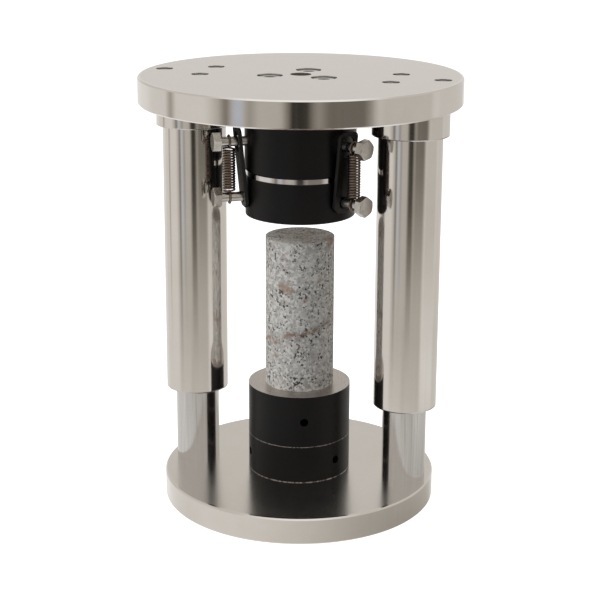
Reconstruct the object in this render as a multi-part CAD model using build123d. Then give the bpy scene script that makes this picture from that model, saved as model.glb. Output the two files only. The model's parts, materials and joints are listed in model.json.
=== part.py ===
from build123d import *
from math import asin, atan2, cos, degrees, sin, sqrt
import os

os.makedirs("parts", exist_ok=True)

# Millimetres. The origin is the centre of the base plate's underside, Z is up
# and the two columns stand on the X axis.

# Base plate and top plate
base_margin = 20.5  # from a column's axis out to the base plate's rim
base_thickness = 19.0
top_margin = 35.5  # and to the top plate's rim
top_thickness = 19.0
plate_chamfer = 1.0
centring_hole_radius = 7.5

# Guide posts
column_gap = 12.0  # between a sleeve's flange and the seat housing
post_radius = 16.0
post_length = 213.0
post_seat_depth = 3.0  # the post's foot sits this deep in the base
post_chamfer = 1.5

# Guide sleeves and their bushes
sleeve_radius = 23.0
sleeve_length = 219.5
flange_radius = 27.5
flange_thickness = 20.0
bush_wall = 2.0
bush_length = 40.0
bush_inset = 2.0  # from the sleeve's lower end to the lower bush
running_clearance = 0.05  # post in bush, on the radius
press_clearance = 0.02  # bush in sleeve, on the radius

# The head rises this far on its posts before its upper bushes leave them
lift_travel = 10.0

# Return springs, one over each post inside its sleeve
return_coil_radius = 12.5
return_wire_radius = 1.6
return_turns = 7

# Lower platen stack
lower_radius = 37.5
lower_base_height = 27.5
lower_platen_height = 38.5
tommy_radius = 3.0
tommy_depth = 12.0
tommy_angle = 80.0  # the upper disc's holes stand this far round from the lower disc's
stud_radius = 6.0
stud_depth_down = 12.0
stud_depth_up = 14.0
stud_room = 1.0

# Rock specimen, and the room over it before it is pressed
specimen_radius = 25.0
specimen_height = 111.0
specimen_gap = 17.5

# Upper platen, ball segment and seat housing
housing_radius = 40.0
housing_height = 48.0
platen_inset = 0.5  # the platen is this much less in radius than the housing
platen_height = 28.5
ball_inset = 0.5  # and the ball segment's straight land this much less than the platen
ball_land = 3.5
ball_crown_inset = 6.0  # from the land in to the ball's flat crown
ball_spigot_radius = 15.0
ball_spigot_depth = 3.0
band_height = 4.5  # polished band in view between platen and housing
seat_clearance = 0.25
relief_inset = 1.0  # the socket is bored out over the crown, a little smaller
relief_depth = 3.0

# Socket screws: flange screws, seat screws and the post, centre and ball screws
screw_gap = 0.5  # all round a screw in its clearance hole or counterbore
thread_gap = 0.1
screw_end_room = 2.0
overshoot = 1.0  # a cutter runs this far past a face
socket_share = 0.55  # of the head's height
small_screw_radius = 3.0
small_head_radius = 5.0
small_head_height = 6.0
small_socket = 5.0
small_thread = 13.0
small_counterbore = 7.0
large_screw_radius = 5.0
large_head_radius = 8.0
large_head_height = 10.0
large_socket = 8.0
large_thread = 16.0
large_counterbore = 11.0
counterbore_gap = 1.2
small_pitch_radius = 22.0  # flange screws round each column's axis
large_pitch_radius = 22.5  # seat screws round the centre
centre_thread = 10.0
ball_screw_radius = 4.0
ball_head_radius = 6.5
ball_head_height = 8.0
ball_socket = 6.0
ball_thread = 14.0
ball_counterbore = 9.0

# Spring bolts
bolt_radius = 3.5
bolt_across = 13.0
bolt_head_height = 5.3
bolt_stand_off = 19.0  # from the housing's side out to the underside of the head
bolt_thread = 13.0
upper_bolt_height = 21.2  # over the housing's lower rim
lower_bolt_height = 14.2  # over the pressing face
upper_head_angle = 12.0
lower_head_angle = 24.0

# Hidden shanks and the holes they fill are twelve-sided, and spring wire is made of flats
hidden_sides = 12
coil_sides = 8
wire_sides = 4

# Tension springs
spring_stand_off = 12.3  # from the housing's side out to the spring's axis
coil_radius = 4.0
wire_radius = 0.5
coil_turns = 14
hook_clearance = 0.3
hook_drop = 1.2  # from the hook down to the first coil
spring_seat_gap = 0.1

# Retaining links
link_width = 18.0
link_length = 58.0
link_thickness = 2.5
link_stand_off = 2.2  # between the link and the housing's lower rim
link_foot = 7.2  # from the lower bolt's axis down to the link's lower end
link_corner = 4.0
link_hole_gap = 0.7
slot_width = 13.4
slot_length = 15.0
link_seat_gap = 0.1

# Heights that follow from the sizes above
base_top = base_thickness
post_foot = base_top - post_seat_depth
post_top = post_foot + post_length
joint_face = base_top + lower_base_height
lower_face = joint_face + lower_platen_height
specimen_top = lower_face + specimen_height
pressing_face = specimen_top + specimen_gap
platen_top = pressing_face + platen_height
housing_bottom = platen_top + band_height
housing_top = housing_bottom + housing_height
top_plate_top = housing_top + top_thickness
sleeve_bottom = housing_top - sleeve_length
flange_bottom = housing_top - flange_thickness
lower_bush_bottom = sleeve_bottom + bush_inset
upper_bush_top = post_top - lift_travel - bush_inset
upper_bolt_z = housing_bottom + upper_bolt_height
lower_bolt_z = pressing_face + lower_bolt_height

# Distances from the centre that follow
platen_radius = housing_radius - platen_inset
ball_radius = platen_radius - ball_inset
ball_crown_radius = ball_radius - ball_crown_inset
relief_radius = ball_crown_radius - relief_inset
spring_reach = housing_radius + spring_stand_off
bolt_reach = housing_radius + bolt_stand_off
column_offset = housing_radius + column_gap + flange_radius
base_radius = column_offset + base_margin
top_radius = column_offset + top_margin

# Radii that follow
bush_bore = post_radius + running_clearance
bush_outer = bush_bore + bush_wall
sleeve_bore = bush_outer + press_clearance
sphere_radius = sqrt(ball_radius**2 + (platen_height + ball_land) ** 2)
socket_radius = sphere_radius + seat_clearance
hook_radius = bolt_radius + hook_clearance + wire_radius

# Places round the axis, in degrees
column_sides = {"left": 180, "right": 0}
stations = {"left": 210, "right": 330, "rear": 90}
thirds = (0, 120, 240)


# Helpers

def turned(*outline):
    """A solid of revolution about Z from (radius, height) points."""
    return revolve(Plane.XZ * make_face(Polyline(*outline, close=True)), Axis.Z)


def rod(radius, bottom, top):
    """A plain round on the Z axis, as a cutter or as a solid."""
    return Pos(0, 0, (bottom + top) / 2) * Cylinder(radius, top - bottom)


def shank(radius, bottom, top):
    """The hidden length of a screw."""
    return Pos(0, 0, bottom) * extrude(RegularPolygon(radius, hidden_sides), top - bottom)


def shank_hole(radius, bottom, top):
    """A cutter for a hole that only a hidden shank fills."""
    outline = RegularPolygon(radius, hidden_sides, major_radius=False)
    return Pos(0, 0, bottom) * extrude(outline, top - bottom)


def at(angle, radius=0, height=0):
    """A place at a radius from the centre and a height, turned about Z."""
    return Rot(0, 0, angle) * Pos(radius, 0, height)


def column(side):
    return at(column_sides[side], column_offset)


def straight_wire(start, end, wire):
    run = Vector(*end) - Vector(*start)
    return extrude(Plane(origin=start, z_dir=run) * RegularPolygon(wire, wire_sides), run.length)


def coil(radius, height, turns, wire):
    """A helix of straight flats, mitred where they meet."""
    steps = turns * coil_sides
    corners = [
        Vector(radius, 0, height * step / steps).rotate(Axis.Z, 360 * step / coil_sides)
        for step in range(steps + 1)
    ]
    section = Plane(origin=corners[0], z_dir=corners[1] - corners[0])
    section *= RegularPolygon(wire, wire_sides)
    return sweep(section, path=Polyline(*corners), transition=Transition.RIGHT)


def ring(radius, wire):
    """A flat closed ring about Z, as a hook or as the closed end of a spring."""
    outer = RegularPolygon(radius + wire, coil_sides, major_radius=False)
    inner = RegularPolygon(radius - wire, coil_sides, major_radius=False)
    return Pos(0, 0, -wire) * extrude(outer - inner, 2 * wire)


def socket_screw(radius, length, head_radius, head_height, socket_across):
    """A cap screw with the underside of its head at the origin, pointing down."""
    screw = shank(radius, -length, 0) + rod(head_radius, 0, head_height)
    socket = Pos(0, 0, head_height) * RegularPolygon(socket_across / 2, 6, major_radius=False)
    return screw - extrude(socket, -socket_share * head_height)


def screw_cut(radius, through, head_radius, head_room, tap):
    """The hole for a socket screw: counterbore up, clearance hole, then the tapped length."""
    return (
        rod(head_radius + counterbore_gap, 0, head_room)
        + shank_hole(radius + screw_gap, -through, 0)
        + shank_hole(radius + thread_gap, -through - tap, -through)
    )


def plate_disc(radius, bottom, top, edge):
    """A turned disc with both rims chamfered."""
    return turned(
        (0, bottom), (radius - edge, bottom), (radius, bottom + edge),
        (radius, top - edge), (radius - edge, top), (0, top),
    )


def side_place(angle, height):
    """A place on the axis whose own Z runs out sideways at this angle."""
    return at(angle, 0, height) * Rot(0, 90, 0)


def group(*solids):
    return Compound(children=list(solids))


# Screws and the holes they need

small_through = top_thickness - small_counterbore
large_through = top_thickness - large_counterbore
post_through = post_foot - large_counterbore
centre_through = base_top - large_counterbore


def small_screw():
    return socket_screw(
        small_screw_radius, small_through + small_thread,
        small_head_radius, small_head_height, small_socket,
    )


def large_screw(through, thread):
    return socket_screw(
        large_screw_radius, through + thread, large_head_radius, large_head_height, large_socket
    )


def large_cut(through, thread):
    return screw_cut(
        large_screw_radius, through, large_head_radius, large_counterbore,
        thread + screw_end_room,
    )


def flange_places(side):
    seat = top_plate_top - small_counterbore
    return [column(side) * Rot(0, 0, third) * Pos(small_pitch_radius, 0, seat) for third in thirds]


def flange_cuts(side):
    cut = screw_cut(
        small_screw_radius, small_through, small_head_radius, small_counterbore,
        small_thread + screw_end_room,
    )
    return [place * cut for place in flange_places(side)]


seat_places = [
    at(angle, large_pitch_radius, top_plate_top - large_counterbore)
    for angle in stations.values()
]
from_below = Pos(0, 0, large_counterbore) * Rot(180, 0, 0)
seat_cut = large_cut(large_through, large_thread)
post_cut = from_below * large_cut(post_through, large_thread)
centre_cut = from_below * large_cut(centre_through, centre_thread)


# Base, posts and lower platens

def base_plate():
    plate = plate_disc(base_radius, 0, base_top, plate_chamfer) - centre_cut
    for side in column_sides:
        plate -= column(side) * (rod(post_radius + press_clearance, post_foot, base_top) + post_cut)
    return plate


def guide_post(side):
    post = turned(
        (0, post_foot), (post_radius, post_foot), (post_radius, post_top - post_chamfer),
        (post_radius - post_chamfer, post_top), (0, post_top),
    )
    return column(side) * (post - post_cut)


def tommy_holes(turned_by, height):
    hole = rod(tommy_radius, lower_radius - tommy_depth, lower_radius + overshoot)
    return [side_place(angle + turned_by, height) * hole for angle in stations.values()]


stud_hole = shank_hole(
    stud_radius + thread_gap,
    joint_face - stud_depth_down - stud_room, joint_face + stud_depth_up + stud_room,
)


def lower_platen_base():
    disc = rod(lower_radius, base_top, joint_face) - centre_cut - stud_hole
    return disc - tommy_holes(0, base_top + lower_base_height / 2)


def lower_platen():
    disc = rod(lower_radius, joint_face, lower_face) - stud_hole
    return disc - tommy_holes(tommy_angle, joint_face + lower_platen_height / 2)


def platen_stud():
    return shank(stud_radius, joint_face - stud_depth_down, joint_face + stud_depth_up)


def rock_specimen():
    return rod(specimen_radius, lower_face, specimen_top)


# Head: top plate, sleeves, bushes and return springs

def top_plate():
    plate = plate_disc(top_radius, housing_top, top_plate_top, plate_chamfer)
    plate -= rod(centring_hole_radius, housing_top, top_plate_top)
    plate -= [place * seat_cut for place in seat_places]
    for side in column_sides:
        plate -= flange_cuts(side)
    return plate


def guide_sleeve(side):
    sleeve = turned(
        (sleeve_bore, sleeve_bottom), (sleeve_radius, sleeve_bottom),
        (sleeve_radius, flange_bottom), (flange_radius, flange_bottom),
        (flange_radius, housing_top), (sleeve_bore, housing_top),
    )
    return column(side) * sleeve - flange_cuts(side)


def guide_bush(side, bottom):
    top = bottom + bush_length
    wall = turned((bush_bore, bottom), (bush_outer, bottom), (bush_outer, top), (bush_bore, top))
    return column(side) * wall


def return_spring(side):
    start = post_top + return_wire_radius + spring_seat_gap
    end = housing_top - return_wire_radius - spring_seat_gap
    closed_end = ring(return_coil_radius, return_wire_radius)
    spring = Pos(0, 0, start) * (
        coil(return_coil_radius, end - start, return_turns, return_wire_radius) + closed_end
    )
    return column(side) * (spring + Pos(0, 0, end) * closed_end)


# Spherical seat

def arc_about_face(radius, start_height, end_height):
    """An arc in the outline plane about the centre of the pressing face."""
    start = degrees(asin(start_height / radius))
    end = degrees(asin(end_height / radius))
    return CenterArc((0, pressing_face), radius, start, end - start)


def bolt_holes(surface, height):
    """Tapped holes for the spring bolts, in from a round surface."""
    bottom = surface - bolt_thread - screw_end_room
    hole = shank_hole(bolt_radius + thread_gap, bottom, surface + overshoot)
    return [side_place(angle, height) * hole for angle in stations.values()]


def seat_housing():
    mouth = housing_bottom - pressing_face
    relief_start = sqrt(socket_radius**2 - relief_radius**2)
    relief_z = pressing_face + relief_start + relief_depth
    outline = arc_about_face(socket_radius, mouth, relief_start) + Polyline(
        (relief_radius, pressing_face + relief_start), (relief_radius, relief_z), (0, relief_z),
        (0, housing_top), (housing_radius, housing_top), (housing_radius, housing_bottom),
        (sqrt(socket_radius**2 - mouth**2), housing_bottom),
    )
    housing = revolve(Plane.XZ * make_face(outline), Axis.Z)
    housing -= [place * seat_cut for place in seat_places]
    return housing - bolt_holes(housing_radius, upper_bolt_z)


crown_height = sqrt(sphere_radius**2 - ball_crown_radius**2)
crown_z = pressing_face + crown_height
spigot_z = platen_top - ball_spigot_depth
ball_through = crown_z - ball_counterbore - spigot_z
ball_screw_place = Pos(0, 0, crown_z - ball_counterbore)
ball_cut = ball_screw_place * screw_cut(
    ball_screw_radius, ball_through, ball_head_radius, ball_counterbore,
    ball_thread + screw_end_room,
)


def ball_segment():
    land_z = platen_top + ball_land
    outline = arc_about_face(sphere_radius, platen_height + ball_land, crown_height) + Polyline(
        (ball_crown_radius, crown_z), (0, crown_z), (0, spigot_z),
        (ball_spigot_radius, spigot_z), (ball_spigot_radius, platen_top),
        (ball_radius, platen_top), (ball_radius, land_z),
    )
    return revolve(Plane.XZ * make_face(outline), Axis.Z) - ball_cut


def ball_screw():
    return ball_screw_place * socket_screw(
        ball_screw_radius, ball_through + ball_thread,
        ball_head_radius, ball_head_height, ball_socket,
    )


def upper_platen():
    platen = rod(platen_radius, pressing_face, platen_top)
    platen -= rod(ball_spigot_radius + press_clearance, spigot_z, platen_top)
    platen -= ball_cut
    return platen - bolt_holes(platen_radius, lower_bolt_z)


# Spring bolts, tension springs and retaining links

def spring_bolt(angle, height, surface, head_angle):
    """A hexagon bolt that points out from the axis, screwed into a round surface."""
    head = extrude(RegularPolygon(bolt_across / 2, 6, major_radius=False), bolt_head_height)
    bolt = Pos(0, 0, bolt_reach) * Rot(0, 0, head_angle) * head
    bolt += rod(bolt_radius, surface, bolt_reach) + shank(bolt_radius, surface - bolt_thread, surface)
    return side_place(angle, height) * bolt


def tension_spring(angle):
    span = upper_bolt_z - lower_bolt_z
    start, end = hook_radius + hook_drop, span - hook_radius - hook_drop
    hook = Rot(0, 90, 0) * ring(hook_radius, wire_radius)
    spring = Pos(0, 0, start) * coil(coil_radius, end - start, coil_turns, wire_radius)
    spring += straight_wire((coil_radius, 0, start), (0, 0, hook_radius), wire_radius)
    spring += straight_wire((coil_radius, 0, end), (0, 0, span - hook_radius), wire_radius)
    spring = spring + hook + Pos(0, 0, span) * hook
    return at(angle, spring_reach, lower_bolt_z) * spring


def retaining_link(angle):
    """A flat plate that leans out, with a round hole below and a slot round the upper bolt."""
    foot = Vector(platen_radius + link_seat_gap, 0, lower_bolt_z - link_foot)
    lean = atan2(housing_radius + link_stand_off - foot.X, housing_bottom - foot.Z)
    flat = Plane(origin=foot, x_dir=(0, 1, 0), z_dir=(cos(lean), 0, -sin(lean)))

    def along(height):
        """Where a bolt at this height crosses the middle of the plate's thickness."""
        return (height - foot.Z + link_thickness / 2 * sin(lean)) / cos(lean)

    outline = Pos(0, link_length / 2) * Rectangle(link_width, link_length)
    outline = fillet(outline.vertices().group_by(Axis.Y)[-1], link_corner)
    outline = chamfer(outline.vertices().group_by(Axis.Y)[0], link_corner)
    outline -= Pos(0, along(lower_bolt_z)) * Circle(bolt_radius + link_hole_gap)
    slot = SlotOverall(slot_length, slot_width)
    outline -= Pos(0, along(upper_bolt_z)) * Rot(0, 0, 90) * slot
    return Rot(0, 0, angle) * extrude(flat * outline, link_thickness)


# The finished pieces, each under the name of its file

pieces = {
    "base_plate": base_plate(),
    "post_screws": group(*[
        column(side) * from_below * large_screw(post_through, large_thread) for side in column_sides
    ]),
    "lower_platen_base": lower_platen_base(),
    "centre_screw": from_below * large_screw(centre_through, centre_thread),
    "lower_platen": lower_platen(),
    "platen_stud": platen_stud(),
    "rock_specimen": rock_specimen(),
    "top_plate": top_plate(),
    "flange_screws": group(*[
        place * small_screw() for side in column_sides for place in flange_places(side)
    ]),
    "seat_housing": seat_housing(),
    "seat_screws": group(*[
        place * large_screw(large_through, large_thread) for place in seat_places
    ]),
    "ball_segment": ball_segment(),
    "ball_screw": ball_screw(),
    "upper_platen": upper_platen(),
    "upper_spring_bolts": group(*[
        spring_bolt(angle, upper_bolt_z, housing_radius, upper_head_angle)
        for angle in stations.values()
    ]),
    "lower_spring_bolts": group(*[
        spring_bolt(angle, lower_bolt_z, platen_radius, lower_head_angle)
        for angle in stations.values()
    ]),
}
for side in column_sides:
    pieces[f"guide_post_{side}"] = guide_post(side)
    pieces[f"guide_sleeve_{side}"] = guide_sleeve(side)
    pieces[f"lower_bush_{side}"] = guide_bush(side, lower_bush_bottom)
    pieces[f"upper_bush_{side}"] = guide_bush(side, upper_bush_top - bush_length)
    pieces[f"return_spring_{side}"] = return_spring(side)
for station, angle in stations.items():
    pieces[f"tension_spring_{station}"] = tension_spring(angle)
    pieces[f"retaining_link_{station}"] = retaining_link(angle)

for name, piece in pieces.items():
    export_step(piece, f"parts/{name}.step")
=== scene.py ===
import json
from math import cos, pi, radians, sin

import bmesh
import bpy
from mathutils import Matrix, Vector

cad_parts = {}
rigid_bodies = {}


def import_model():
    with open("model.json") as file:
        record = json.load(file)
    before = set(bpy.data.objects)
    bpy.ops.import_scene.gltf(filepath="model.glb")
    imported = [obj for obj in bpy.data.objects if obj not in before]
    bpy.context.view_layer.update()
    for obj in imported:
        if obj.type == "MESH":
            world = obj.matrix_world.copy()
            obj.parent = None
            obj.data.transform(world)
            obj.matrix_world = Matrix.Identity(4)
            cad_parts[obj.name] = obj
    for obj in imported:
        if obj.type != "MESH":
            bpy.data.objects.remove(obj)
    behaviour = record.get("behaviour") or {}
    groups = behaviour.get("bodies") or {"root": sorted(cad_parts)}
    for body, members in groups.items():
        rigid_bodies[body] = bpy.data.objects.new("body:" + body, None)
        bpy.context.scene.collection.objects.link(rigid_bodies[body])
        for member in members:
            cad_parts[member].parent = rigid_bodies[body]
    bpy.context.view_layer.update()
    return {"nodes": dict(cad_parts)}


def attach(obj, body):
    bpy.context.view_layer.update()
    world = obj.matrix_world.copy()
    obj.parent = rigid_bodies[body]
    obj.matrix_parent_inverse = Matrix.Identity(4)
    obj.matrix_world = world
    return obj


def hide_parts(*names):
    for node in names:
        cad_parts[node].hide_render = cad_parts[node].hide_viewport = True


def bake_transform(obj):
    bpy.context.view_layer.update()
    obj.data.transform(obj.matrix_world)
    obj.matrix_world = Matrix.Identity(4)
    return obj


for leftover in list(bpy.data.objects):
    bpy.data.objects.remove(leftover)

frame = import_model()
nodes = frame["nodes"]
print("frame loaded,", len(nodes), "pieces")

mm = 0.001
columnX = 79.5 * mm


class Wire:  # one output socket, so that sums on it add Math nodes
    def __init__(self, net, socket):
        self.net = net
        self.socket = socket

    def sum(self, operation, other, swapped=False):
        pair = (other, self) if swapped else (self, other)
        return self.net.math(operation, *pair)

    def __add__(self, other):
        return self.sum("ADD", other)

    def __radd__(self, other):
        return self.sum("ADD", other, True)

    def __sub__(self, other):
        return self.sum("SUBTRACT", other)

    def __rsub__(self, other):
        return self.sum("SUBTRACT", other, True)

    def __mul__(self, other):
        return self.sum("MULTIPLY", other)

    def __rmul__(self, other):
        return self.sum("MULTIPLY", other, True)

    def __pow__(self, other):
        return self.sum("POWER", other)


class Net:  # the nodes of one material or of the world
    def __init__(self, tree):
        self.tree = tree
        tree.nodes.clear()

    def plug(self, socket, value):
        if isinstance(value, Wire):
            self.tree.links.new(value.socket, socket)
        elif hasattr(value, "__len__") and socket.type == "RGBA" and len(value) == 3:
            socket.default_value = (*value, 1)
        else:
            socket.default_value = value

    def node(self, kind, settings=None, *values, **named):
        made = self.tree.nodes.new("ShaderNode" + kind)
        for key, value in (settings or {}).items():
            setattr(made, key, value)
        shown = [socket for socket in made.inputs if socket.enabled]
        for socket, value in zip(shown, values):
            self.plug(socket, value)
        for name, value in named.items():
            wanted = name.replace("_", " ")
            self.plug(next(socket for socket in shown if socket.name == wanted), value)
        return made

    def add(self, kind, settings=None, *values, out=0, **named):
        made = self.node(kind, settings, *values, **named)
        outputs = [socket for socket in made.outputs if socket.enabled]
        return Wire(self, outputs[out] if isinstance(out, int) else made.outputs[out])

    def math(self, operation, *values):
        return self.add("Math", {"operation": operation}, *values)

    def object(self):
        return self.add("TexCoord", out="Object")

    def split(self, vector):
        made = self.node("SeparateXYZ", {}, vector)
        return [Wire(self, socket) for socket in made.outputs]

    def noise(self, where, scale, detail=3.0, rough=0.5):
        return self.add("TexNoise", {}, Vector=where, Scale=scale, Detail=detail, Roughness=rough)

    def drawnOut(self, first, second, third, detail=3.0, rough=0.5):  # noise with its own scale each way
        return self.noise(self.add("CombineXYZ", {}, first, second, third), 1.0, detail, rough)

    def range(self, value, low, high, newLow=0.0, newHigh=1.0):
        return self.add("MapRange", {"clamp": True}, value, low, high, newLow, newHigh)

    def blend(self, factor, first, second):
        made = self.node("Mix", {"data_type": "RGBA", "blend_type": "MIX", "clamp_factor": True})
        for index, value in ((0, factor), (6, first), (7, second)):
            self.plug(made.inputs[index], value)
        return Wire(self, made.outputs[2])

    def between(self, value, low, high, soft):  # 1 inside a stretch, 0 outside it
        return self.range(value, low - soft, low + soft) * self.range(value, high + soft, high - soft)

    def bump(self, height, strength, reach, **under):
        return self.add("Bump", {}, Height=height, Strength=strength, Distance=reach, **under)

    def close(self, **sockets):
        shader = self.add("BsdfPrincipled", {}, **sockets)
        self.node("OutputMaterial", {}, shader)


def newFinish(name):
    made = bpy.data.materials.new(name)
    made.use_nodes = True
    return made, Net(made.node_tree)


def turnedPlace(net, centreX=0.0):  # angle round an upright axis, distance from it and height
    x, y, z = net.split(net.object())
    x = x - centreX
    return net.math("ARCTAN2", y, x), (x * x + y * y) ** 0.5, z


def nearestScrew(net, x, y, pitch, firstAngle):  # distance to the nearest of three screws on a circle
    folded = net.math("WRAP", net.math("ARCTAN2", y, x) - radians(firstAngle), pi / 3, -pi / 3)
    away = (x * x + y * y) ** 0.5
    across = away * net.math("SINE", folded)
    along = away * net.math("COSINE", folded) - pitch
    return (across * across + along * along) ** 0.5


plateLook = {
    # The hole walls' colour is drilled steel darkened with painted shade; only their extra roughness is the
    # real drilled finish.
    "colour": (0.745, 0.71, 0.665), "worn": (0.78, 0.75, 0.71), "drilledAndShaded": (0.36, 0.325, 0.29),
    "faceRoughness": 0.19, "rimRoughness": 0.075, "drilledRoughness": 0.25, "cloudScale": 26.0,
    "lay": 5200.0, "bump": 0.03, "bumpReach": 0.04 * mm,
    "rimDepths": (2.2 * mm, 2.6 * mm), "holeSkin": 0.5 * mm, "skinSoft": 0.1 * mm,
}
plateSizes = {  # rim radius, underside and top face
    "base plate": (100 * mm, 0.0, 19 * mm),
    "top plate": (115 * mm, 294.5 * mm, 313.5 * mm),
}


def platedPlate(name):
    radius, bottom, top = plateSizes[name]
    look = plateLook
    made, net = newFinish("satin nickel on the " + name)
    angle, away, z = turnedPlace(net)
    # Hole walls inside the plate: rougher drilled steel, with painted shade darkening their colour.
    rimOut, rimIn = look["rimDepths"]
    inside = net.range(away, radius - rimOut, radius - rimIn)
    skin = look["holeSkin"]
    drilledAndShaded = inside * net.between(z, bottom + skin, top - skin, look["skinSoft"])
    lay = net.drawnOut(away * look["lay"], z * look["lay"], angle * 3.0, 2.0)
    cloud = net.noise(net.object(), look["cloudScale"], 4.0, 0.6)
    fleck = net.noise(net.object(), 900.0, 2.0)
    streak = net.drawnOut(angle * 40.0, z * 4.0, 0.0)
    colour = net.blend(net.range(cloud, 0.35, 0.7), look["colour"], look["worn"])
    # Painted shade on the hole walls.
    colour = net.blend(drilledAndShaded, colour, look["drilledAndShaded"])
    face = look["faceRoughness"] + 0.05 * net.range(cloud, 0.3, 0.75) + 0.03 * net.range(fleck, 0.45, 0.7)
    rim = look["rimRoughness"] + 0.04 * net.range(streak, 0.4, 0.7)
    rough = rim + inside * (face - rim) + drilledAndShaded * look["drilledRoughness"]
    machined = net.bump(lay, look["bump"], look["bumpReach"])
    net.close(Base_Color=colour, Metallic=1.0, Roughness=rough, Normal=machined)
    return made


sleeveLook = {  # the flange's and the foot's edges are broken: from where to where, and how steeply
    "roughness": 0.085, "bump": 0.02,
    "flangeHeights": (275.1 * mm, 274.5 * mm), "flangeRadii": (26.5 * mm, 26.8 * mm), "flangeSlope": 0.6,
    "footHeights": (75.7 * mm, 75 * mm), "footSlope": 0.7,
}


def platedSleeve(name, centreX):
    look = {**plateLook, **sleeveLook}
    made, net = newFinish("satin nickel on the " + name)
    angle, away, z = turnedPlace(net, centreX)
    streak = net.drawnOut(angle * 9.0, z * 5.0, 0.0, 3.0, 0.6)
    rings = net.drawnOut(angle * 2.0, z * 1500.0, 0.0, 2.0)
    cloud = net.noise(net.object(), look["cloudScale"], 4.0, 0.6)
    colour = net.blend(net.range(cloud, 0.35, 0.7), look["colour"], look["worn"])
    rough = look["roughness"] + 0.05 * net.range(streak, 0.4, 0.75) + 0.02 * net.range(cloud, 0.3, 0.75)
    flange = net.range(z, *look["flangeHeights"]) * net.range(away, *look["flangeRadii"])
    foot = net.range(z, *look["footHeights"])
    sunk = (flange * look["flangeSlope"] + foot * look["footSlope"]) * -mm  # a height in metres
    broken = net.bump(sunk, 1.0, 1.0)
    turned = net.bump(rings, look["bump"], look["bumpReach"], Normal=broken)
    net.close(Base_Color=colour, Metallic=1.0, Roughness=rough, Normal=turned)
    return made


postLook = {
    "colour": (0.70, 0.69, 0.675), "dull": (0.60, 0.59, 0.58), "roughness": 0.15,
    "bump": 0.05, "bumpReach": 0.05 * mm,
}


def groundPost(name, centreX):
    look = postLook
    made, net = newFinish("ground steel of the " + name)
    angle, away, z = turnedPlace(net, centreX)
    rings = net.drawnOut(angle * 2.0, z * 2600.0, away * 900.0)
    rubbed = net.drawnOut(angle * 14.0, z * 22.0, 0.0, 4.0, 0.6)
    colour = net.blend(net.range(rubbed, 0.45, 0.75), look["colour"], look["dull"])
    rough = look["roughness"] + 0.08 * net.range(rubbed, 0.35, 0.8)
    ground = net.bump(rings, look["bump"], look["bumpReach"])
    net.close(Base_Color=colour, Metallic=1.0, Roughness=rough, Normal=ground)
    return made


blackLook = {
    "colour": (0.0032, 0.0031, 0.0036), "brown": (0.0060, 0.0052, 0.0050),
    "bare": (0.60, 0.555, 0.51), "scratched": (0.47, 0.43, 0.40), "roughness": 0.33, "gloss": 0.24,
    "bareSmoother": 0.08, "bump": 0.08, "bumpReach": 0.05 * mm, "faceEdge": 0.05 * mm,
}
blackPieces = {  # side and height of the bare ground face, then heights and widths of the worn edges
    "lower platen base": (None, {19.2 * mm: 0.28 * mm, 46.4 * mm: 0.22 * mm}),
    "lower platen": (("top", 84.9 * mm), {46.7 * mm: 0.12 * mm}),
    "seat housing": (None, {}),
    "upper platen": (("underside", 213.6 * mm), {}),
}


def blackSteel(name):
    bareFace, wornEdges = blackPieces[name]
    look = blackLook
    made, net = newFinish("black oxide on the " + name)
    angle, away, z = turnedPlace(net)
    lay = net.drawnOut(away * 2500.0, z * 2500.0, angle * 4.0, 2.0)
    cloud = net.noise(net.object(), 45.0, 5.0, 0.6)
    fleck = net.noise(net.object(), 1500.0, 2.0)
    colour = net.blend(net.range(cloud, 0.4, 0.75), look["colour"], look["brown"])
    rough = look["roughness"] + 0.08 * net.range(cloud, 0.3, 0.75) + 0.06 * net.range(fleck, 0.45, 0.6)
    bare = 0.0
    for height, width in wornEdges.items():
        rubbed = net.range(net.drawnOut(angle * 30.0, z * 900.0, 0.0, 3.0, 0.7), 0.44, 0.54)
        bare = bare + rubbed * net.range(net.math("ABSOLUTE", z - height), width, width * 0.5)
    if bareFace:
        side, faceZ = bareFace
        above = net.range(z, faceZ - look["faceEdge"], faceZ)
        bare = bare + (above if side == "top" else 1.0 - above)
    if bareFace or wornEdges:
        scratch = net.drawnOut(away * 1800.0, angle * 3.0, 0.0, 3.0, 0.6)
        ground = net.blend(net.range(scratch, 0.35, 0.7), look["bare"], look["scratched"])
        colour = net.blend(bare, colour, ground)
        rough = rough - bare * look["bareSmoother"]
    net.close(
        Base_Color=colour, Metallic=bare, Roughness=rough, Specular_IOR_Level=look["gloss"],
        Normal=net.bump(lay, look["bump"], look["bumpReach"]),
    )
    return made


linkLook = {
    "colour": (0.003, 0.003, 0.003), "brown": (0.007, 0.006, 0.005), "roughness": 0.36, "gloss": 0.4,
    "bump": 0.1, "bumpReach": 0.05 * mm,
}


def blackLink(name):
    look = linkLook
    made, net = newFinish(name)
    cloud = net.noise(net.object(), 90.0, 4.0, 0.6)
    grain = net.noise(net.object(), 2600.0, 2.0)
    colour = net.blend(net.range(cloud, 0.4, 0.75), look["colour"], look["brown"])
    rough = look["roughness"] + 0.1 * net.range(cloud, 0.3, 0.75)
    net.close(
        Base_Color=colour, Metallic=0.0, Roughness=rough, Specular_IOR_Level=look["gloss"],
        Normal=net.bump(grain, look["bump"], look["bumpReach"]),
    )
    return made


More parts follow.
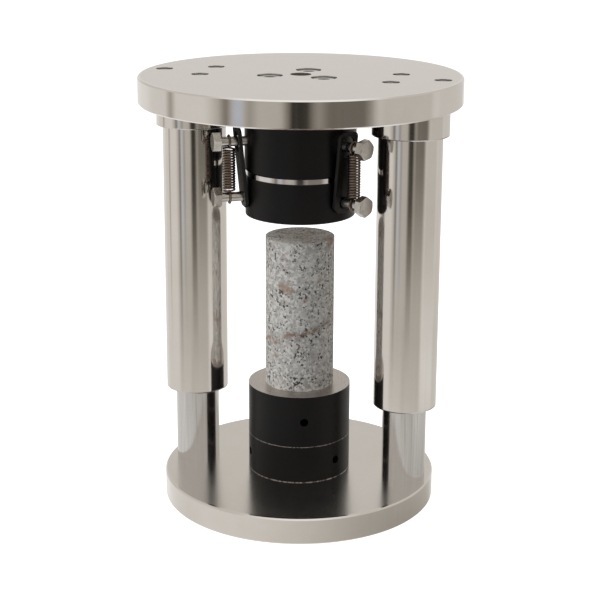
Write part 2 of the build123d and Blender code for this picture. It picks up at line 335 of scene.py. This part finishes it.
steelLook = {"grain": 2500.0, "bump": 0.06, "bumpReach": 0.03 * mm}
screwPaintedShade = {  # painted shade in the socket and on the head's side: its colours, and how far it reaches in from the head's top, the socket's wall and the head's rim
    "socket": (0.16, 0.145, 0.13), "wall": (0.20, 0.18, 0.16),
    "topDepths": (0.2 * mm, 0.35 * mm), "socketEdge": 0.2 * mm, "rimDepths": (0.5 * mm, 0.3 * mm),
}
screwHeads = {  # circle that three screws stand on, turn of the first, and radii of the head and its socket
    "flange": {
        "centre": columnX, "pitch": 22 * mm, "turn": 0, "headTop": 312.5 * mm,
        "socket": 2.9 * mm, "head": 5 * mm,
    },
    "seat": {
        "centre": 0, "pitch": 22.5 * mm, "turn": 90, "headTop": 312.5 * mm,
        "socket": 4.6 * mm, "head": 8 * mm,
    },
}


def steel(name, colour, shade, roughness, screws=None):
    look = steelLook
    made, net = newFinish(name)
    grain = net.noise(net.object(), look["grain"], 2.0)
    cloud = net.noise(net.object(), 220.0, 4.0, 0.6)
    tint = net.blend(net.range(cloud, 0.35, 0.7), colour, shade)
    rough = roughness + 0.1 * net.range(cloud, 0.3, 0.75)
    if screws:
        sizes = screwHeads[screws]
        x, y, z = net.split(net.object())
        if sizes["centre"]:  # both columns: the left side's screws are the right side's, turned half round
            side = net.math("SIGN", x)
            x, y = x * side - sizes["centre"], y * side
        away = nearestScrew(net, x, y, sizes["pitch"], sizes["turn"])
        shallow, deep = screwPaintedShade["topDepths"]
        below = net.range(z, sizes["headTop"] - shallow, sizes["headTop"] - deep)
        socket = below * net.range(away, sizes["socket"], sizes["socket"] - screwPaintedShade["socketEdge"])
        inner, outer = screwPaintedShade["rimDepths"]
        wall = below * net.range(away, sizes["head"] - inner, sizes["head"] - outer)
        # Painted shade: the socket and the head's side below its top are darkened.
        tint = net.blend(socket, tint, screwPaintedShade["socket"])
        tint = net.blend(wall, tint, screwPaintedShade["wall"])
    machined = net.bump(grain, look["bump"], look["bumpReach"])
    net.close(Base_Color=tint, Metallic=1.0, Roughness=rough, Normal=machined)
    return made


ballLook = {
    "colour": (0.78, 0.76, 0.73), "smeared": (0.66, 0.635, 0.60), "roughness": 0.06, "smear": 0.08,
    "bump": 0.04, "bumpReach": 0.04 * mm,
}


def polishedBall(name):
    look = ballLook
    made, net = newFinish(name)
    angle, away, z = turnedPlace(net)
    smear = net.drawnOut(angle * 5.0, z * 60.0, 0.0, 3.0, 0.6)
    lay = net.drawnOut(away * 3000.0, z * 3000.0, angle * 3.0, 2.0)
    colour = net.blend(net.range(smear, 0.4, 0.7), look["colour"], look["smeared"])
    rough = look["roughness"] + look["smear"] * net.range(smear, 0.45, 0.75)
    polished = net.bump(lay, look["bump"], look["bumpReach"])
    net.close(Base_Color=colour, Metallic=1.0, Roughness=rough, Normal=polished)
    return made


graniteLook = {
    "grain": 560.0, "pale": (0.66, 0.64, 0.605), "white": (0.88, 0.865, 0.83),
    "grey": (0.40, 0.385, 0.365), "mica": (0.045, 0.043, 0.043), "rust": (0.36, 0.20, 0.085),
    "greyAmount": 0.6, "micaAmount": 0.93, "stainAmount": 0.55,
    "veinZ": 127 * mm, "veinRise": 0.30, "veinWave": 22 * mm, "veinShade": (0.24, 0.225, 0.21),
    "haloWidths": (7 * mm, 1 * mm), "haloAmount": 0.5,
    "seamWidths": (2.2 * mm, 0.6 * mm), "seamAmount": 0.85,
    "roughness": 0.6, "gloss": 0.3, "bump": 0.3, "bumpReach": 0.22 * mm,
}


def granite(name):
    look = graniteLook
    made, net = newFinish(name)
    place = net.object()
    x, y, z = net.split(place)
    crystals = net.add("TexVoronoi", {"feature": "F1"}, Vector=place, Scale=look["grain"], out="Color")
    shade, hue, _ = net.split(crystals)
    wide = net.noise(place, 60.0, 4.0, 0.6)
    base = net.blend(net.range(shade, 0.25, 0.8), look["pale"], look["white"])
    greys = net.range(hue + (wide - 0.5) * 1.3, 0.62, 0.80)
    base = net.blend(greys * look["greyAmount"], base, look["grey"])
    mica = net.noise(place, 520.0, 3.0, 0.6)
    clumps = net.noise(place, 150.0, 3.0, 0.6)
    spots = net.range(mica * 0.62 + clumps * 0.38, 0.556, 0.592)
    base = net.blend(spots * look["micaAmount"], base, look["mica"])
    wave = net.noise(place, 55.0, 4.0, 0.65)
    rise = (wave - 0.5) * look["veinWave"]
    seam = net.math("ABSOLUTE", z + rise - look["veinZ"] - x * look["veinRise"])
    torn = net.range(net.noise(place, 140.0, 4.0, 0.7), 0.40, 0.58)
    halo = net.range(seam, *look["haloWidths"]) * torn
    base = net.blend(halo * look["haloAmount"], base, look["veinShade"])
    rusted = net.range(seam, *look["seamWidths"]) * torn
    base = net.blend(rusted * look["seamAmount"], base, look["rust"])
    stains = net.range(net.noise(place, 95.0, 3.0, 0.5), 0.64, 0.70)
    base = net.blend(stains * look["stainAmount"], base, look["rust"])
    net.close(
        Base_Color=base, Metallic=0.0, Roughness=look["roughness"], Specular_IOR_Level=look["gloss"],
        Normal=net.bump(mica, look["bump"], look["bumpReach"]),
    )
    return made


finishes = {
    "base plate": platedPlate("base plate"),
    "top plate": platedPlate("top plate"),
    "left sleeve": platedSleeve("left sleeve", -columnX),
    "right sleeve": platedSleeve("right sleeve", columnX),
    "left post": groundPost("left post", -columnX),
    "right post": groundPost("right post", columnX),
    "polished": polishedBall("polished ball"),
    "stainless": steel("turned stainless", (0.60, 0.575, 0.54), (0.46, 0.435, 0.40), 0.2),
    "spring": steel("drawn spring wire", (0.26, 0.20, 0.155), (0.15, 0.118, 0.092), 0.28),
    "zinc": steel("zinc plated screws", (0.66, 0.69, 0.73), (0.58, 0.60, 0.63), 0.26),
    "flange screws": steel(
        "zinc plated flange screws", (0.70, 0.71, 0.73), (0.60, 0.61, 0.63), 0.24, "flange",
    ),
    "seat screws": steel(
        "zinc plated seat screws", (0.70, 0.71, 0.73), (0.60, 0.61, 0.63), 0.24, "seat",
    ),
    "link": blackLink("black links"),
    "bronze": steel("bearing bronze", (0.60, 0.38, 0.17), (0.48, 0.30, 0.13), 0.30),
    "granite": granite("granite"),
}
for name in blackPieces:
    finishes[name] = blackSteel(name)
wears = {
    "base plate": ["base_plate"],
    "top plate": ["top_plate"],
    "left sleeve": ["guide_sleeve_left"],
    "right sleeve": ["guide_sleeve_right"],
    "left post": ["guide_post_left"],
    "right post": ["guide_post_right"],
    "lower platen base": ["lower_platen_base"],
    "lower platen": ["lower_platen"],
    "seat housing": ["seat_housing"],
    "upper platen": ["upper_platen"],
    "polished": ["ball_segment"],
    "stainless": ["upper_spring_bolts", "lower_spring_bolts"],
    "spring": [
        "tension_spring_left", "tension_spring_right", "tension_spring_rear",
        "return_spring_left", "return_spring_right",
    ],
    "flange screws": ["flange_screws"],
    "seat screws": ["seat_screws"],
    "zinc": ["post_screws", "centre_screw", "ball_screw", "platen_stud"],
    "link": ["retaining_link_left", "retaining_link_right", "retaining_link_rear"],
    "bronze": ["lower_bush_left", "lower_bush_right", "upper_bush_left", "upper_bush_right"],
    "granite": ["rock_specimen"],
}
for finish, names in wears.items():
    for name in names:
        nodes[name].data.materials.clear()
        nodes[name].data.materials.append(finishes[finish])
print("finishes made,", len(finishes))


cleaning = {"doubles": 0.005 * mm, "sharp": radians(28)}


def keep(bm, name, finish, replaced, body=None):
    bmesh.ops.remove_doubles(bm, verts=bm.verts, dist=cleaning["doubles"])
    bmesh.ops.recalc_face_normals(bm, faces=bm.faces)
    mesh = bpy.data.meshes.new(name)
    bm.to_mesh(mesh)
    bm.free()
    piece = bpy.data.objects.new(name, mesh)
    bpy.context.scene.collection.objects.link(piece)
    mesh.materials.append(finishes[finish])
    mesh.shade_smooth()
    mesh.set_sharp_from_angle(angle=cleaning["sharp"])
    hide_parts(*replaced)
    if body:
        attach(piece, body)
    return piece


stations = {"left": 210, "right": 330, "rear": 90}  # degrees round the seat

tensionSpring = {
    "reach": 52.3 * mm, "topZ": 267.7 * mm, "lowZ": 227.7 * mm,
    "coil": 3.85 * mm, "wire": 0.74 * mm, "turns": 16, "hook": 4.4 * mm, "drop": 0.35 * mm,
    "sides": 10, "coilSteps": 24, "eyeSteps": 36,
}


def wireRing(bm, where, radius, wire, sides, sweep, steps, rise=0.0):  # wire swept round local Z
    made = bmesh.ops.create_circle(bm, segments=sides, radius=wire)["verts"]
    bmesh.ops.transform(
        bm, verts=made,
        matrix=where @ Matrix.Translation((radius, 0, 0)) @ Matrix.Rotation(pi / 2, 4, "X"),
    )
    edges = list(dict.fromkeys(edge for vert in made for edge in vert.link_edges))  # once each, in order
    axis = where.to_3x3() @ Vector((0, 0, 1))
    bmesh.ops.spin(
        bm, geom=made + edges, cent=where.translation, axis=axis,
        dvec=axis * rise / steps, angle=sweep, steps=steps, use_merge=False,
    )


def springHalf(station, angle, half):
    sizes = tensionSpring
    middle = (sizes["topZ"] + sizes["lowZ"]) / 2
    eyeZ = sizes["topZ"] if half == "upper" else sizes["lowZ"]
    coilEnd = eyeZ - (1 if half == "upper" else -1) * (sizes["hook"] + sizes["drop"])
    bm = bmesh.new()
    turn = Matrix.Rotation(radians(angle), 4, "Z")
    low, high = sorted((middle, coilEnd))
    turns = sizes["turns"] / 2
    wireRing(
        bm, turn @ Matrix.Translation((sizes["reach"], 0, low)), sizes["coil"], sizes["wire"],
        sizes["sides"], 2 * pi * turns, int(turns * sizes["coilSteps"]), high - low,
    )
    eye = turn @ Matrix.Translation((sizes["reach"], 0, eyeZ)) @ Matrix.Rotation(pi / 2, 4, "Y")
    wireRing(bm, eye, sizes["hook"], sizes["wire"], sizes["sides"], 2 * pi, sizes["eyeSteps"])
    piece = keep(
        bm, f"tension_spring_{station}_{half}", "spring", [f"tension_spring_{station}"],
    )
    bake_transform(piece)


for station, angle in stations.items():
    for half in ("upper", "lower"):
        springHalf(station, angle, half)
print("tension springs made")

springBolt = {
    "across": 13 * mm, "head": 5.3 * mm, "reach": 59 * mm, "shank": 3.5 * mm, "thread": 13 * mm,
    "faceRadius": 6.15 * mm, "chamfer": pi / 6, "cuts": 36, "cutSnap": 0.0001 * mm, "shankSides": 32,
    "rows": {  # height, surface it is screwed into, turn of the head, body
        "upper_spring_bolts": (267.7 * mm, 40 * mm, 12, "head"),
        "lower_spring_bolts": (227.7 * mm, 39.5 * mm, 24, "platen"),
    },
}


def hexHead(bm, place):  # the corners of the outer face are turned off to a cone
    sizes = springBolt
    head = bmesh.new()
    outline = bmesh.ops.create_circle(
        head, cap_ends=True, segments=6, radius=sizes["across"] / 2 / cos(pi / 6),
    )
    face = outline["verts"][0].link_faces[0]
    raised = bmesh.ops.extrude_face_region(head, geom=[face])["geom"]
    bmesh.ops.translate(
        head, verts=[part for part in raised if isinstance(part, bmesh.types.BMVert)],
        vec=(0, 0, sizes["head"]),
    )
    for step in range(sizes["cuts"]):
        around = 2 * pi * step / sizes["cuts"]
        out = Vector((cos(around), sin(around), 0))
        cut = bmesh.ops.bisect_plane(
            head, geom=head.verts[:] + head.edges[:] + head.faces[:], dist=sizes["cutSnap"],
            plane_co=out * sizes["faceRadius"] + Vector((0, 0, sizes["head"])),
            plane_no=out * sin(sizes["chamfer"]) + Vector((0, 0, cos(sizes["chamfer"]))), clear_outer=True,
        )["geom_cut"]
        rim = [part for part in cut if isinstance(part, bmesh.types.BMEdge)]
        if rim:
            bmesh.ops.holes_fill(head, edges=rim, sides=0)
    bmesh.ops.recalc_face_normals(head, faces=head.faces)
    mesh = bpy.data.meshes.new("head")
    head.to_mesh(mesh)
    head.free()
    mesh.transform(place)
    bm.from_mesh(mesh)
    bpy.data.meshes.remove(mesh)


for name, (height, surface, headTurn, body) in springBolt["rows"].items():
    bm = bmesh.new()
    reach = springBolt["reach"]
    inner = surface - springBolt["thread"]
    for angle in stations.values():
        axis = (
            Matrix.Rotation(radians(angle), 4, "Z") @ Matrix.Translation((0, 0, height))
            @ Matrix.Rotation(pi / 2, 4, "Y")
        )
        underHead = axis @ Matrix.Translation((0, 0, reach))
        hexHead(bm, underHead @ Matrix.Rotation(radians(headTurn), 4, "Z"))
        bmesh.ops.create_cone(
            bm, cap_ends=True, segments=springBolt["shankSides"],
            radius1=springBolt["shank"], radius2=springBolt["shank"], depth=reach - inner,
            matrix=axis @ Matrix.Translation((0, 0, (reach + inner) / 2)),
        )
    keep(bm, "dressed_" + name, "stainless", [name], body)
print("spring bolts made")

# Edges of the small pieces are broken a little, so that they catch the light
edgeBreak = {
    "weld": 0.002 * mm, "segments": 2, "sharper": radians(35),
    "widths": {
        "flange_screws": 0.3 * mm, "seat_screws": 0.4 * mm,
        "retaining_link_left": 0.3 * mm, "retaining_link_right": 0.3 * mm, "retaining_link_rear": 0.3 * mm,
    },
}
for name, width in edgeBreak["widths"].items():
    weld = nodes[name].modifiers.new("weld", "WELD")
    weld.merge_threshold = edgeBreak["weld"]
    bevel = nodes[name].modifiers.new("edge break", "BEVEL")
    bevel.width = width
    bevel.segments = edgeBreak["segments"]
    bevel.limit_method = "ANGLE"
    bevel.angle_limit = edgeBreak["sharper"]
    bevel.use_clamp_overlap = False
    bevel.harden_normals = True
print("edges broken")

cameraView = {  # focal length and frame in pixels, angles in degrees
    "focal": 1510.25, "frame": 600.0, "sensor": 36, "pitch": 14.61, "roll": 0.27, "azimuth": 14.45,
    "distance": 1060.61 * mm, "height": 469.05 * mm, "shift": -0.1,
}
camera = bpy.data.objects.new("camera", bpy.data.cameras.new("camera"))
bpy.context.scene.collection.objects.link(camera)
camera.data.sensor_width = cameraView["sensor"]
camera.data.lens = cameraView["focal"] * cameraView["sensor"] / cameraView["frame"]
camera.data.shift_y = cameraView["shift"]
aside = radians(cameraView["azimuth"])
camera.matrix_world = (
    Matrix.Translation((
        cameraView["distance"] * sin(aside), -cameraView["distance"] * cos(aside), cameraView["height"],
    ))
    @ Matrix.Rotation(aside, 4, "Z")
    @ Matrix.Rotation(radians(90 - cameraView["pitch"]), 4, "X")
    @ Matrix.Rotation(radians(cameraView["roll"]), 4, "Z")
)
bpy.context.scene.camera = camera

table = {
    "radius": 6.0, "sides": 64, "drop": 0.3 * mm,
    "colour": (0.85, 0.85, 0.85), "roughness": 0.8, "glow": 0.86,
}
bm = bmesh.new()
bmesh.ops.create_circle(bm, cap_ends=True, segments=table["sides"], radius=table["radius"])
tableMesh = bpy.data.meshes.new("table")
bm.to_mesh(tableMesh)
bm.free()
tableTop = bpy.data.objects.new("table", tableMesh)
tableTop.location.z = -table["drop"]
bpy.context.scene.collection.objects.link(tableTop)
tableFinish, net = newFinish("white table")
net.close(
    Base_Color=table["colour"], Roughness=table["roughness"],
    Emission_Color=(1, 1, 1), Emission_Strength=table["glow"],
)
tableMesh.materials.append(tableFinish)
tableTop.visible_glossy = False
tableTop.visible_diffuse = False

lampsAim = Vector((0, 0, 0.15))
lamps = {  # place, size and power
    "key": ((-1.3, -0.9, 1.5), 1.2, 20.0),
    "fill": ((1.3, -0.9, 1.2), 1.2, 2.5),
    "top": ((0.0, 0.3, 2.0), 1.5, 8.0),
}
for name, (place, size, power) in lamps.items():
    light = bpy.data.lights.new(name, "AREA")
    light.shape = "DISK"
    light.size = size
    light.energy = power
    lamp = bpy.data.objects.new(name, light)
    lamp.location = place
    lamp.rotation_euler = (lampsAim - Vector(place)).to_track_quat("-Z", "Y").to_euler()
    lamp.visible_glossy = False
    bpy.context.scene.collection.objects.link(lamp)

# What bright metal mirrors: a pale studio with cards, a window and the dark gap behind the camera.
# Directions and widths are in degrees round the room, heights are those on a ball of radius 1.
room = {
    "backdrop": 0.83, "sky": 0.655, "skyHeights": (0.0, 0.3),
    "overhead": 1.05, "overheadHeights": (0.8, 0.95), "underneath": 0.95, "underneathHeights": (-0.6, -0.8),
    "soft": 0.52, "softSides": (0.75, 0.35), "warm": (1.0, 0.90, 0.76), "white": (1.0, 1.0, 1.0),
    "panelTops": (0.12, 0.02), "panelFeet": (-0.04, 0.05),
    "table": {
        "mean": 0.57, "swing": 0.20, "brightest": -150, "heights": (-0.35, -0.42),
        "lit": {"at": 122, "half": 30, "soft": 22, "light": 0.93},
    },
    "panels": {
        "left wall": {"at": -172, "half": 34, "soft": 6, "light": 0.74, "foot": -0.38},
        "left corner": {"at": -177, "half": 3, "soft": 3, "light": 0.38, "foot": -0.28},
        "left card": {"at": -112, "half": 28, "soft": 5, "light": 0.53, "foot": -0.36},
        "card edge": {"at": -128, "half": 3, "soft": 3, "light": 0.20, "foot": -0.30},
        "card shade": {"at": -110, "half": 3, "soft": 3, "light": 0.36, "foot": -0.26},
        "dim room": {"at": -60, "half": 34, "soft": 6, "light": 0.51, "foot": -0.37},
        "dark room": {"at": -44, "half": 20, "soft": 8, "light": 0.17, "foot": -0.25},
        "camera gap": {"at": -76, "half": 9, "soft": 4, "light": 0.04, "foot": -0.28},
        "right wall": {"at": 5, "half": 26, "soft": 5, "light": 0.59, "foot": -0.30},
        "right card": {"at": 58, "half": 27, "soft": 6, "light": 0.66, "foot": -0.38},
    },
    "window": {"at": -119, "half": 3, "soft": 2.5, "colour": (0.52, 0.58, 0.68), "feet": (-0.30, -0.24)},
}
world = bpy.data.worlds.new("studio")
world.use_nodes = True
bpy.context.scene.world = world
net = Net(world.node_tree)
lookX, lookY, lookZ = net.split(net.add("TexCoord", out="Generated"))
compass = net.math("ARCTAN2", lookY, lookX) * (180 / pi)


def roundTo(card):  # 1 near a card's direction, 0 past its soft edge
    off = net.math("ABSOLUTE", net.math("WRAP", compass - card["at"], 180.0, -180.0))
    return net.range(off, card["half"] + card["soft"], card["half"] - card["soft"])


level = net.range(lookZ, *room["skyHeights"], room["backdrop"], room["sky"])
underTops = net.range(lookZ, *room["panelTops"])
feetFrom, feetTo = room["panelFeet"]
for panel in room["panels"].values():
    seen = roundTo(panel) * underTops
    seen = seen * net.range(lookZ, panel["foot"] + feetFrom, panel["foot"] + feetTo)
    level = level + seen * (panel["light"] - level)
glow = room["table"]
tableLight = glow["mean"] + glow["swing"] * net.math("COSINE", (compass - glow["brightest"]) * (pi / 180))
tableLight = tableLight + roundTo(glow["lit"]) * (glow["lit"]["light"] - tableLight)
level = level + net.range(lookZ, *glow["heights"]) * (tableLight - level)
for part in ("overhead", "underneath"):
    level = level + net.range(lookZ, *room[part + "Heights"]) * (room[part] - level)
tint = net.blend(level, room["warm"], room["white"])
mirrored = net.add("VectorMath", {"operation": "SCALE"}, tint, Scale=level)
window = room["window"]
pane = roundTo(window) * net.range(lookZ, *window["feet"])
mirrored = net.blend(pane * underTops, mirrored, window["colour"])
softSide = room["soft"] * net.range(lookX, -1.0, 1.0, *room["softSides"])
softLight = net.add("CombineXYZ", {}, softSide, softSide, softSide)
paths = net.node("LightPath", {})
seen = net.blend(Wire(net, paths.outputs["Is Glossy Ray"]), softLight, mirrored)
seen = net.blend(Wire(net, paths.outputs["Is Camera Ray"]), seen, room["white"])
shade = net.add("Background", {}, Color=seen, Strength=1.0)
net.node("OutputWorld", {}, shade)
bpy.context.scene.view_settings.view_transform = "Standard"
print("studio ready")
